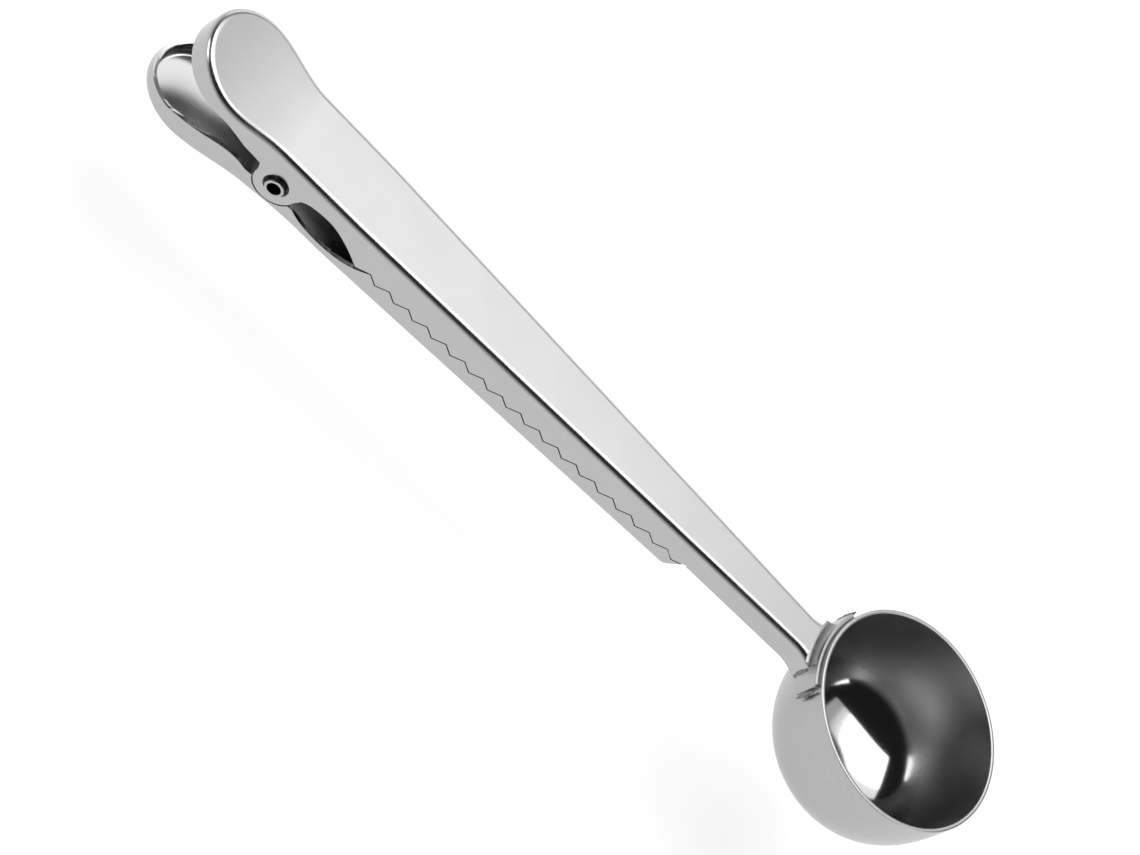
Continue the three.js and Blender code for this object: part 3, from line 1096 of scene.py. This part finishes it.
# Weld metal with its heat tint left on: rough, dark in its ripples.
WELD = SteelFinish(
    "heat-tinted weld metal", "#9A9998", "#565554", (0.3, 0.45), (0.45, 0.45, 0.35), 0.03)
# Turned tube and hard-drawn wire.
PIN = SteelFinish(
    "turned stainless tube", "#B9B8B6", "#A8A7A5", (0.18, 0.26), (0.4, 3.0, 0.4), 0.0005)
WIRE = SteelFinish(
    "hard-drawn spring wire", "#A3A2A0", "#8E8D8B", (0.2, 0.3), (0.5, 0.5, 0.5), 0.0005)


# ---- Studio -----------------------------------------------------------------


@dataclass(frozen=True)
class SoftBox:
    """A rectangular soft light.

    Attributes:
        name: What it is.
        centre: Its middle, in metres.
        size: Its sides, in metres.
        brightness: How bright its face looks, where 1 is paper white.
        level: True if it hangs level, and False if it faces the scoop.
    """

    name: str
    centre: tuple[float, float, float]
    size: tuple[float, float]
    brightness: float
    level: bool = False


# The ceiling light is brightest over the scoop and fades towards the far right, so it is
# several level boxes that overlap, with one straight front edge.
SOFT_BOXES = (
    SoftBox("ceiling, whole", (0.2, 1.04, 1.66), (2.2, 2.32), 0.75, level=True),
    SoftBox("ceiling, wide", (0.0, 0.82, 1.645), (1.8, 1.88), 0.35, level=True),
    SoftBox("ceiling, middle", (-0.04, 0.8, 1.63), (1.72, 1.84), 0.35, level=True),
    SoftBox("ceiling, narrow", (-0.1, 0.77, 1.615), (1.6, 1.78), 0.4, level=True),
    SoftBox("ceiling, over the scoop", (-0.15, 0.47, 1.6), (1.5, 1.18), 1.5, level=True),
    SoftBox("far wall", (-0.1, 2.6, 0.7), (2.6, 1.0), 1.0),
    SoftBox("thumb side soft box", (-1.4, -0.1, 0.6), (0.7, 0.6), 3.0),
    SoftBox("bowl side soft box", (1.4, -0.35, 0.8), (0.8, 0.6), 3.5),
)


@dataclass
class Studio:
    """A white light table under a dim dome, with soft lights and the camera."""

    camera_at: tuple[float, float, float] = (-350.94, -597.18, 672.31)
    camera_right: tuple[float, float, float] = (0.6721, 0.386, 0.6319)
    camera_up: tuple[float, float, float] = (-0.6783, 0.6631, 0.3165)
    lens: float = 183.04
    film: float = 36.0
    near: float = 0.01
    table_glow: float = 0.78
    table_level: float = -0.0187
    table_side: float = 8.0

    def camera(self) -> None:
        """Adds the camera."""
        right = Vector(self.camera_right).normalized()
        up = Vector(self.camera_up)
        up = (up - right * up.dot(right)).normalized()
        back = right.cross(up)
        data = bpy.data.cameras.new("camera")
        data.lens = self.lens
        data.sensor_width = self.film
        data.clip_start = self.near
        obj = bpy.data.objects.new("camera", data)
        turn = Matrix((right, up, back)).transposed()
        obj.matrix_world = Matrix.Translation(Vector(self.camera_at) * MM) @ turn.to_4x4()
        bpy.context.scene.collection.objects.link(obj)
        bpy.context.scene.camera = obj

    def dome(self) -> None:
        """Lights the scene faintly: pale at the horizon and dim above."""
        world = bpy.data.worlds.new("dim dome")
        bpy.context.scene.world = world
        world.use_nodes = True
        tree = world.node_tree
        tree.nodes.clear()
        where = add_node(tree, "ShaderNodeTexCoord")
        split = add_node(tree, "ShaderNodeSeparateXYZ", {"Vector": where.outputs["Generated"]})
        ramp = add_node(tree, "ShaderNodeValToRGB", {"Fac": split.outputs["Z"]})
        ramp.color_ramp.interpolation = "EASE"
        stops = ramp.color_ramp.elements
        horizon, overhead = stops[0], stops[1]
        horizon.position, horizon.color = 0.0, (0.85, 0.85, 0.85, 1)
        overhead.position, overhead.color = 0.62, (0.02, 0.02, 0.02, 1)
        stops.new(0.38).color = (0.42, 0.42, 0.42, 1)
        glow = add_node(
            tree, "ShaderNodeBackground", {"Color": ramp.outputs["Color"], "Strength": 1.0},
        )
        add_node(tree, "ShaderNodeOutputWorld", {"Surface": glow.outputs["Background"]})

    def table(self) -> None:
        """Adds the white light table, low enough for the lower jaw to open fully above it."""
        obj = primitive(
            "table", bpy.ops.mesh.primitive_plane_add, size=self.table_side,
            location=(0, 0, self.table_level),
        )
        material = bpy.data.materials.new("white light table")
        material.use_nodes = True
        shader = material.node_tree.nodes["Principled BSDF"]
        for key, value in (
            ("Base Color", linear("#9A9A9A")), ("Roughness", 0.9), ("Specular IOR Level", 0.0),
            ("Emission Color", (1, 1, 1, 1)), ("Emission Strength", self.table_glow),
        ):
            shader.inputs[key].default_value = value
        obj.data.materials.append(material)

    def soft_box(self, box: SoftBox) -> None:
        """Adds one rectangular soft light, level or facing the scoop."""
        data = bpy.data.lights.new(box.name, "AREA")
        data.shape = "RECTANGLE"
        data.size, data.size_y = box.size
        data.energy = math.pi * box.size[0] * box.size[1] * box.brightness
        obj = bpy.data.objects.new(box.name, data)
        obj.location = box.centre
        facing = Vector((0, 0, 1)) if box.level else Vector(box.centre)
        obj.rotation_euler = facing.to_track_quat("Z", "Y").to_euler()
        bpy.context.scene.collection.objects.link(obj)

    def build(self) -> None:
        """Sets up the whole studio."""
        self.camera()
        self.dome()
        self.table()
        for box in SOFT_BOXES:
            self.soft_box(box)
        bpy.context.scene.view_settings.view_transform = "Standard"


# ---- Assembly ---------------------------------------------------------------


def dress(
    obj: bpy.types.Object, body: Body, slot: str, finishes: list[bpy.types.Material], *nodes: str,
) -> None:
    """Gives a piece its finishes and its body.

    Args:
        obj: The finished piece.
        body: The body that it rides on.
        slot: The record's material slot; not used.
        finishes: Its materials, in slot order.
        nodes: The CAD nodes that it stands for.
    """
    for finish in finishes:
        obj.data.materials.append(finish)
    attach(obj, body.value)
    if nodes:
        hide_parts(*nodes)
    LOG.info("%s: %d faces", obj.name, len(obj.data.polygons))


def main() -> None:
    """Builds the scoop piece by piece, and the studio round it."""
    logging.basicConfig(level=logging.INFO, format="%(message)s")
    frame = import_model()
    Studio().build()

    hinge = frame["joints"][0]["pos_m"]
    pivot_x, pivot_z = hinge[0] / MM, hinge[2] / MM
    lay = Layout(tip_x=pivot_x - PIVOT_STATION, top_z=19.6, pivot_x=pivot_x, pivot_z=pivot_z)

    satin, drawn, punched = SATIN.make(), DRAWN.make(), PUNCHED.make()
    tint_and_shade, weld, pin, wire = HEAT_TINT_AND_SHADE.make(), WELD.make(), PIN.make(), WIRE.make()

    handle = Handle(
        lay, lead=0, thumb_widest=10.1, thumb_length=10.1, past_end=148.4, bend=1.35,
    )
    lever = ClipLever(
        lay, lead=0.6, thumb_widest=9.2, thumb_length=10.3, past_end=130.0, bend=2.1,
    )
    dress(handle.build(), Body.SCOOP, "satin_steel", [satin], "handle")
    dress(lever.build(), Body.LEVER, "satin_steel", [satin], "clip_lever")
    dress(Bowl().build(), Body.SCOOP, "brushed_steel", [drawn, punched], "bowl")
    saddle = Saddle(lay)
    # The darker, duller finish is heat tint beside the welds and painted shade: it covers the
    # foot's up-facing faces and the whole bend at the neck.
    dress(saddle.build(), Body.SCOOP, "satin_steel", [drawn, tint_and_shade])
    dress(saddle.fillet_strip(), Body.SCOOP, "satin_steel", [tint_and_shade])
    for side, sign in (("left", 1), ("right", -1)):
        bead = saddle.bead(f"weld_run_{side}", f"weld_bead_{side}")
        dress(bead, Body.SCOOP, "weld_metal", [weld], f"weld_bead_{side}")
        dress(saddle.toe(f"weld_toe_{side}", sign), Body.SCOOP, "weld_metal", [weld])
    dress(HollowPin().build(), Body.SCOOP, "pin_steel", [pin], "pivot_pin")

    winding = TorsionSpring(lay)
    spring = winding.build(handle, lever)
    spring.data.materials.append(wire)
    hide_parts("torsion_spring")
    half = winding.half * MM
    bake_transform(spring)
    LOG.info("%s: %d faces", spring.name, len(spring.data.polygons))


if __name__ == "__main__":
    main()
